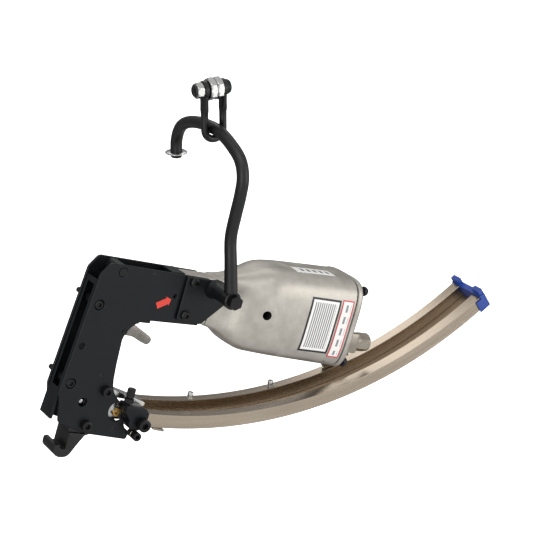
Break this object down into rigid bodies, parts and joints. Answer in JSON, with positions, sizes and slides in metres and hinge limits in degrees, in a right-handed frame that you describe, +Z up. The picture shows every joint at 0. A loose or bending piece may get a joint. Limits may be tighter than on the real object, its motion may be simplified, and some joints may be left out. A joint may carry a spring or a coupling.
{
  "type": "bag neck clipping tool",
  "caption": "Hanging air-powered clip tool that closes gathered bag necks, with a trigger, a curved clip magazine and a hanger with a shackle.",
  "frame": {"origin": "centre of the shackle bolt that carries the tool", "axes": "+X along the tool from the nose to the magazine's end, level; +Y from the near side plate to the far one; +Z up"},
  "size_m": [0.4893, 0.1461, 0.342],
  "materials": {
    "black_coated_steel": "satin black coating on steel plate and bar",
    "black_oxide_steel": "black oxide on machined steel fasteners",
    "cast_aluminium": "satin as-cast aluminium, lightly blasted",
    "nickel_plated_steel": "satin nickel plate with a warm tone",
    "zinc_plated_steel": "bright zinc plate",
    "ground_steel": "ground tool steel",
    "brass": "machined brass",
    "blue_plastic": "moulded blue plastic",
    "seal_rubber": "black nitrile rubber"
  },
  "bodies": {
    "bolt": {"shackle_bolt": "black_oxide_steel", "shackle_nut": "zinc_plated_steel", "spacer_nut_left": "zinc_plated_steel", "spacer_nut_right": "zinc_plated_steel"},
    "shackle": {"shackle": "black_coated_steel"},
    "hanger": {"hanger_bar": "black_coated_steel", "bar_washer": "zinc_plated_steel"},
    "piston": {"piston": "cast_aluminium", "piston_seal": "seal_rubber", "piston_rod": "ground_steel"},
    "lever": {"drive_lever": "black_coated_steel"},
    "link": {"toggle_link": "black_coated_steel", "knee_pin": "black_oxide_steel", "ram_pin": "black_oxide_steel"},
    "ram": {"ram": "ground_steel"},
    "trigger": {"trigger": "cast_aluminium"},
    "valve": {"valve_stem": "ground_steel"},
    "thumb": {"thumb_screw": "black_oxide_steel"},
    "swivel": {"inlet_swivel": "nickel_plated_steel"},
    "cap": {"magazine_end_cap": "blue_plastic"},
    "frame": {"bag_hook": "black_coated_steel", "block_screw_large": "black_oxide_steel", "block_screw_small": "black_oxide_steel", "bracket_screw_lower": "black_oxide_steel", "bracket_screw_upper": "black_oxide_steel", "clip_track": "ground_steel", "cover_screw_far_high": "black_oxide_steel", "cover_screw_far_low": "black_oxide_steel", "cover_screw_near_high": "black_oxide_steel", "cover_screw_near_low": "black_oxide_steel", "cylinder_body": "cast_aluminium", "end_cover": "cast_aluminium", "far_rail": "nickel_plated_steel", "far_side_plate": "black_coated_steel", "front_channel": "black_coated_steel", "front_screw_lower": "zinc_plated_steel", "front_screw_upper": "zinc_plated_steel", "front_spacer_lower": "black_coated_steel", "front_spacer_upper": "black_coated_steel", "hanger_boss": "black_coated_steel", "hanger_bracket": "black_coated_steel", "hanger_pivot_bolt": "black_oxide_steel", "inlet_block": "nickel_plated_steel", "lever_pivot_pin": "black_oxide_steel", "magazine_bracket": "nickel_plated_steel", "magazine_floor": "nickel_plated_steel", "magazine_front_bracket": "zinc_plated_steel", "near_rail": "nickel_plated_steel", "near_side_plate": "black_coated_steel", "nose_block": "black_coated_steel", "nose_screw_lower": "black_oxide_steel", "nose_screw_upper": "black_oxide_steel", "nose_side_block": "black_coated_steel", "rail_screw_front": "zinc_plated_steel", "rail_screw_rear": "zinc_plated_steel", "ram_guide": "black_coated_steel", "rod_bush": "brass", "top_bridge": "black_coated_steel", "trigger_pin": "black_oxide_steel", "valve_body": "black_coated_steel"}
  },
  "joints": [
    {"name": "shackle_swing", "type": "hinge", "parent": "bolt", "child": "shackle", "pos_m": [0, 0, 0], "axis": [1, 0, 0], "range_deg": [-50, 50]},
    {"name": "saddle_swing", "type": "hinge", "parent": "shackle", "child": "hanger", "pos_m": [0, 0, -0.037], "axis": [0, 1, 0], "range_deg": [-40, 40]},
    {"name": "hanger_pivot", "type": "hinge", "parent": "hanger", "child": "frame", "pos_m": [-0.01, -0.046, -0.1855], "axis": [0, 1, 0], "range_deg": [-50, 40]},
    {"name": "piston_stroke", "type": "slide", "parent": "frame", "child": "piston", "axis": [-0.9483, 0, 0.3173], "range_m": [0, 0.01144]},
    {"name": "lever_turn", "type": "hinge", "parent": "frame", "child": "lever", "pos_m": [-0.10009, 0.002, -0.15219], "axis": [0, 1, 0], "range_deg": [0, 25.93]},
    {"name": "link_turn", "type": "hinge", "parent": "lever", "child": "link", "pos_m": [-0.07866, 0.002, -0.17987], "axis": [0, 1, 0], "range_deg": [-49.79, 0]},
    {"name": "ram_slide", "type": "slide", "parent": "frame", "child": "ram", "axis": [-0.3989, 0, -0.917], "range_m": [0, 0.024]},
    {"name": "trigger_pull", "type": "hinge", "parent": "frame", "child": "trigger", "pos_m": [-0.1012, 0.002, -0.2094], "axis": [0, -1, 0], "range_deg": [0, 8], "stiffness_Nm_per_rad": 0.6, "springref_deg": -5.73},
    {"name": "valve_slide", "type": "slide", "parent": "frame", "child": "valve", "axis": [0.3173, 0, 0.9483], "range_m": [0, 0.0015]},
    {"name": "thumb_turn", "type": "hinge", "parent": "frame", "child": "thumb", "pos_m": [-0.09842, -0.0136, -0.27265], "axis": [0.3173, 0, 0.9483], "continuous": true},
    {"name": "inlet_turn", "type": "hinge", "parent": "frame", "child": "swivel", "pos_m": [0.16457, 0.0014, -0.28398], "axis": [0.9483, 0, -0.3173], "continuous": true},
    {"name": "cap_pull", "type": "slide", "parent": "frame", "child": "cap", "axis": [0.8599, 0, 0.5105], "range_m": [0, 0.03]}
  ],
  "couplings": [
    {"joint": "lever_turn", "follows": "piston_stroke", "rad_per_m": 39.556},
    {"joint": "link_turn", "follows": "piston_stroke", "rad_per_m": -75.954},
    {"joint": "ram_slide", "follows": "piston_stroke", "ratio": 2.0977},
    {"joint": "valve_slide", "follows": "trigger_pull", "m_per_rad": 0.010732}
  ]
}
